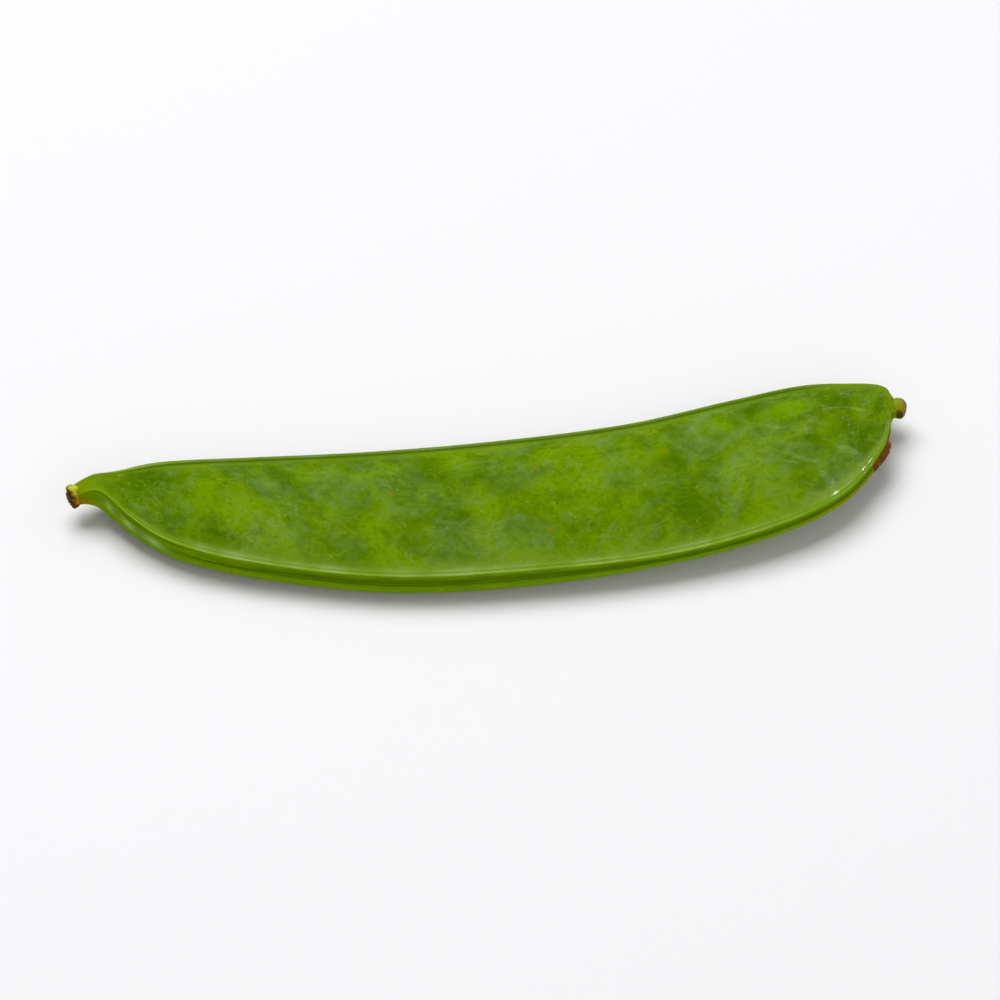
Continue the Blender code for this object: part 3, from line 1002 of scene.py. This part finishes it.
def grooved_seam(skin):
    """The seam's groove and a line along it, darkened with painted shade; a pale band on the neck's seam
    that is a painted reflection, with painted glints; pale lines of painted highlight on the neck's
    crest and by the beak; and short wet glints of gloss.
    """
    above = 1 - skin.under
    past_neck = skin.after(*FLAT_SEAM)
    # Painted shade in the seam's groove, and in a line along it on the upper valve.
    line = skin.on_rim(0.05 + past_neck * 0.22, 0.13) * above * (0.24 + past_neck * 0.30)
    groove = skin.smooth(skin.rim_way, 0.30, 0.04) * 0.25
    skin.tint((groove + line) * (1 - skin.at_neck * 0.7), 40, 72, 0)
    skin.tint(skin.under * skin.on_rim(0.32, 0.28) * 0.28, 132, 168, 0)
    # painted shade: a dark line on the neck under its crest
    skin.tint(skin.on_rim(0.50, 0.07) * skin.at_neck * above * 0.50, 50, 88, 0)
    # Painted reflection: a pale band along the neck's seam, brighter at its painted glints; the same
    # places also get real gloss.
    painted_streak = skin.on_rim(0.10, 0.12) * skin.after(*PAINTED_STREAK[0]) * skin.before(*PAINTED_STREAK[1]) * skin.by_bow
    painted_glints = skin.short_spots(PAINTED_STREAK_GLINTS)
    skin.tint(painted_streak * (0.15 + painted_glints * 0.55), 178, 204, 118)
    # painted highlight along the neck's crest
    skin.tint(skin.on_rim(0.74, 0.09) * skin.at_neck * 0.45, 146, 176, 50)
    at_beak = skin.smooth(skin.along + skin.warp * 5.0, 70.0, 80.0)
    skin.tint(skin.under * skin.on_rim(0.45, 0.30) * at_beak * 0.60, 150, 132, 0)
    # painted highlight: a pale band where the bowed valve starts, by the beak
    skin.tint(skin.on_rim(1.12, 0.20) * at_beak * skin.by_bow * 0.35, 146, 172, 74)
    wet = skin.short_spots(EDGE_GLINTS) * skin.by_bow * skin.on_rim(0.96, 0.32)
    skin.gloss += wet + painted_streak * painted_glints * 0.4


def coloured_ends(skin):
    """A yellower neck, a browned beak, and a stain round the corky scar."""
    warped = skin.along + skin.warp * 1.2
    skin.patches(warped, *reversed(NECK), 0.50, 112, 145, 0)
    root = skin.smooth(warped + skin.ripple * 1.6, *reversed(ROOT))
    skin.tint(root * (0.30 + skin.under * 0.45), 134, 112, 2)
    skin.patches(skin.along + skin.warp, *BEAK, 0.6, 118, 142, 2)
    by_scar = skin.bell(skin.along, (SCAR_START + SCAR_END) / 2, 1.5)
    by_scar = by_scar * skin.smooth(-skin.across, 0.5, 2.0)
    stain = by_scar * skin.smooth(skin.rim_way + skin.warp * 0.5, 0.95, 0.35)
    skin.tint(skin.clamp(stain) * 0.7, 98, 82, 0)


def pod_skin_finish():
    skin = SkinFinish()
    for layer in (
        leaf_green, mottling, veins, wax_veil_and_painted_sheen, specks, fibrous_rim, grooved_seam, coloured_ends,
    ):
        layer(skin)
    return skin.finished(skin.roughness, skin.height, 0.06, Coat_Weight=skin.clamp(skin.gloss))


def end_frame(finish):
    """The three places that a small piece keeps: out of the pod's end, to the seed seam, and up."""
    return [finish.attribute(name) for name in ("outward", "seedward", "upward")]


def collar_finish():
    collar = Finish(
        "calyx_collar", IOR=1.42, Specular_IOR_Level=0.15, Subsurface_Weight=0.1,
        Subsurface_Radius=(0.35, 0.6, 0.08), Subsurface_Scale=0.001)
    outward, seedward, upward = end_frame(collar)
    where = collar.vector(outward, seedward, upward)
    patch = collar.noise(where, 1.5, 3.0, 0.6)
    fine = collar.noise(where, 5.0, 3.0, 0.6)
    down = (patch - 0.5) * 0.9 - seedward * 0.33 - upward * 0.95
    collar.ground(collar.smooth(patch, 0.35, 0.7), (120, 144, 2), (158, 172, 10))
    tan = collar.smooth(down, -0.45, 0.10)
    collar.tint(tan * 0.90, 186, 134, 16)
    dry = collar.smooth(outward + (patch - 0.5) * 1.3 + tan * 0.20, -0.05, 0.30)
    collar.tint(dry * 0.85, 122, 76, 10)
    burnt = collar.smooth(down + (fine - 0.5) * 0.8, 0.55, 0.95)
    collar.tint(burnt * 0.90, 96, 42, 4)
    darkest = collar.smooth(outward + (fine - 0.5) * 1.2 + tan * 0.15, 0.24, 0.50)
    collar.tint(darkest, 58, 34, 6)
    collar.patches(fine, 0.56, 0.70, 0.40, 92, 62, 4)
    # The swollen nodule on top: its own yellow-green, lightened by a painted highlight.
    swollen = collar.smooth(upward - seedward * 0.45 + (fine - 0.5) * 0.2, 1.12, 1.34)
    collar.tint(swollen * 0.9, 190, 200, 20)
    return collar.finished(0.38 + dry * 0.34, fine, 0.06)


def break_finish():
    stem = Finish("stem_break", IOR=1.45, Specular_IOR_Level=0.25)
    outward, seedward, upward = end_frame(stem)
    where = stem.vector(outward * 0.6, seedward, upward)
    patch = stem.noise(where, 1.6, 3.0, 0.6)
    fine = stem.noise(where, 7.0, 4.0, 0.65)
    stem.ground(stem.smooth(fine, 0.35, 0.68), (58, 30, 4), (124, 76, 14))
    stem.patches(patch, 0.48, 0.66, 0.75, 186, 132, 26)
    stem.patches(outward, -0.02, 0.2, 0.45, 46, 24, 6)
    return stem.finished(0.74 + fine * 0.15, fine, 0.07)


def tip_finish():
    tip = Finish("style_tip", IOR=1.43, Specular_IOR_Level=0.10)
    outward, seedward, upward = end_frame(tip)
    way = tip.attribute("way")
    where = tip.vector(outward * 0.5, seedward, upward)
    patch = tip.noise(where, 1.8, 3.0, 0.6)
    fine = tip.noise(where, 6.5, 3.0, 0.6)
    tip.ground(tip.smooth(patch, 0.35, 0.7), (104, 136, 2), (136, 152, 14))
    dry = tip.smooth(way + (patch - 0.5) * 0.35, 0.40, 0.70)
    tip.tint(dry * 0.85, 130, 124, 2)
    tip.patches(way + (fine - 0.5) * 0.2, 0.72, 0.92, 0.35, 146, 106, 4)
    low = tip.smooth(seedward + (patch - 0.5) * 0.4, -0.55, -1.15)    # the side by the bowed seam
    burnt = tip.smooth(way + low * 0.60 + (fine - 0.5) * 0.25, 1.02, 1.30)
    tip.tint(burnt * 0.9, 70, 48, 2)
    return tip.finished(0.38 + dry * 0.22, fine, 0.05)


def cork_finish():
    cork = Finish("corky_scar", IOR=1.45, Specular_IOR_Level=0.08)
    where = cork.scaled(cork.add("ShaderNodeTexCoord", output="Object"), 1 / MM)
    patch = cork.noise(where, 1.4, 3.0, 0.6)
    fine = cork.noise(where, 5.5, 4.0, 0.65)
    cork.ground(cork.smooth(patch, 0.35, 0.68), (86, 48, 0), (126, 80, 4))
    cork.patches(fine, 0.5, 0.72, 0.6, 54, 26, 0)
    cork.patches(fine, 0.42, 0.30, 0.45, 172, 122, 44)
    lump = cork.smooth(cork.attribute("along"), SCAR_END - 1.0, SCAR_END - 0.2)
    cork.tint(lump * 0.40, 176, 122, 50)
    return cork.finished(0.60 + fine * 0.25, fine, 0.06)


# ======== floor, light and camera ========

FLOOR_HALF = 3.0
FLOOR_GREY = (0.81, 0.81, 0.81, 1.0)
SKY_COLOUR, SKY_STRENGTH = (1.0, 0.90, 0.95, 1.0), 0.29

# Azimuth, elevation, power, size and colour of each lamp, and whether it reaches gloss alone.
LAMPS = {
    "key": (203, 65, 8.3, 0.70, (0.956, 0.987, 1.0), False),
    "fill": (10, 30, 2.0, 0.70, (1.0, 0.995, 0.985), False),
    "window": (190, 64, 0.30, 0.08, (1.0, 1.0, 1.0), True),
    "far_window": (139, 53, 4.5, 0.22, (1.0, 1.0, 1.0), True),
    "end_window": (124, 30, 2.0, 0.16, (1.0, 1.0, 1.0), True),
    "end_fill": (75, 22, 0.7, 0.50, (1.0, 0.98, 0.96), False),
}
LAMP_DISTANCE = 0.9

CAMERA_AZIMUTH = -8.4    # degrees round from straight in front of the bowed seam
CAMERA_ELEVATION = 45.0
CAMERA_DISTANCE = 0.60
SENSOR_WIDTH = 36.0
SHOWN_WIDTH = 0.101      # what the picture's width takes in, at the pod


def towards(azimuth, elevation):
    """Unit vector from the pod to something seen at that azimuth and elevation, in degrees."""
    a, e = math.radians(azimuth), math.radians(elevation)
    return Vector((math.sin(a) * math.cos(e), -math.cos(a) * math.cos(e), math.sin(e)))


def aim(thing, at, away, distance):
    thing.location = at + away * distance
    thing.rotation_mode = "QUATERNION"
    thing.rotation_quaternion = away.to_track_quat("Z", "Y")


def soft_light(name, azimuth, elevation, power, size, tint, only_gloss):
    lamp = bpy.data.lights.new(name, "AREA")
    lamp.energy = power
    lamp.size = size
    lamp.color = tint
    holder = linked(name, lamp)
    holder.visible_diffuse = not only_gloss
    aim(holder, Vector(), towards(azimuth, elevation), LAMP_DISTANCE)


def build_floor():
    mesh = bpy.data.meshes.new("floor")
    corners = [(x * FLOOR_HALF, y * FLOOR_HALF, 0) for x, y in ((-1, -1), (1, -1), (1, 1), (-1, 1))]
    mesh.from_pydata(corners, [], [(0, 1, 2, 3)])
    finish = Finish("pale_floor", Base_Color=FLOOR_GREY, Roughness=0.9, Specular_IOR_Level=0.0)
    mesh.materials.append(finish.material)
    linked("floor", mesh)


def build_stage(centre):
    build_floor()
    world = bpy.data.worlds.new("studio")
    world.use_nodes = True
    sky = world.node_tree.nodes["Background"]
    sky.inputs["Color"].default_value = SKY_COLOUR
    sky.inputs["Strength"].default_value = SKY_STRENGTH
    bpy.context.scene.world = world
    for name, lamp in LAMPS.items():
        soft_light(name, *lamp)

    lens = bpy.data.cameras.new("camera")
    lens.sensor_width = SENSOR_WIDTH
    lens.lens = SENSOR_WIDTH * CAMERA_DISTANCE / SHOWN_WIDTH
    lens.clip_start = 0.01
    camera = linked("camera", lens)
    aim(camera, centre, towards(CAMERA_AZIMUTH, CAMERA_ELEVATION), CAMERA_DISTANCE)
    bpy.context.scene.camera = camera
    bpy.context.scene.view_settings.view_transform = "Standard"


pod_skin = build_pod_skin(pod_skin_finish())
first_ring = CLOSING_RINGS
last_ring = CLOSING_RINGS + RINGS - 1
stub_end = ring_frame(pod_skin, first_ring, first_ring + STUB_RUN)
beak_end = ring_frame(pod_skin, last_ring, last_ring - BEAK_RUN)
pieces = [
    pod_skin,
    seated("calyx_collar", collar_form, COLLAR_SIZES, collar_finish(), stub_end),
    seated("stem_break", break_form, BREAK_SIZES, break_finish(), stub_end),
    seated("style_tip", tip_form, TIP_SIZES, tip_finish(), beak_end),
    grow("corky_scar", pod_skin, scar_form, SCAR_SIZES, cork_finish()),
]
low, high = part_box("pod")
build_stage((low + high) / 2)

for piece in pieces:
    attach(piece, "root")
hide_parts("pod")
